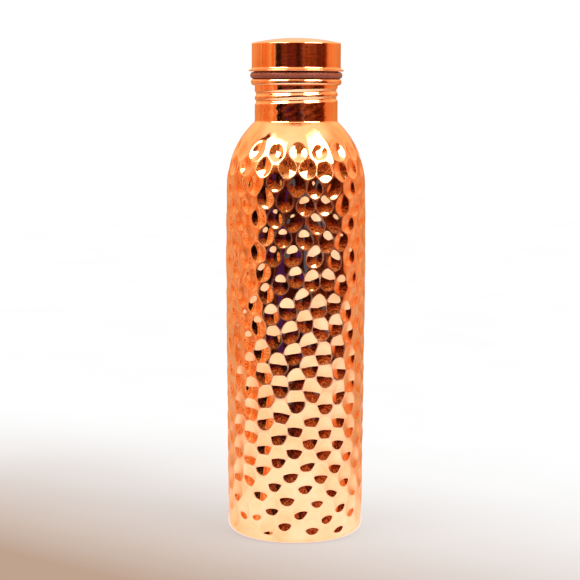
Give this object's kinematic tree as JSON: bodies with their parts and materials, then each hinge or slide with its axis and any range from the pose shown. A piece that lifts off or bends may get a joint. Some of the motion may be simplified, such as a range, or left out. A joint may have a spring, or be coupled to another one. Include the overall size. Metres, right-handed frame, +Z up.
{
  "type": "water bottle",
  "caption": "Tall round copper water bottle with a domed shoulder, short neck and screw cap on a soft seal ring.",
  "frame": {"origin": "centre of the flat ring the bottle stands on", "axes": "+Z up the bottle, the axis the cap turns about; +X and +Y are free, the thread starts on the +Y side"},
  "size_m": [0.0748, 0.0748, 0.2653],
  "materials": {
    "body_copper": "polished",
    "cap_copper": "polished",
    "silicone": "matte"
  },
  "bodies": {
    "bottle": {"bottle_body": "body_copper"},
    "seal": {"cap_gasket": "silicone"},
    "cap": {"cap_shell": "cap_copper", "cap_plug": "cap_copper"}
  },
  "joints": [
    {"name": "cap_lift", "type": "slide", "parent": "bottle", "child": "seal", "axis": [0, 0, 1], "range_m": [0, 0.0141]},
    {"name": "cap_turn", "type": "hinge", "parent": "seal", "child": "cap", "pos_m": [0, 0, 0.2439], "axis": [0, 0, 1], "range_deg": [0, 1260]}
  ],
  "couplings": [
    {"joint": "cap_lift", "follows": "cap_turn", "m_per_rad": 0.00063662}
  ]
}
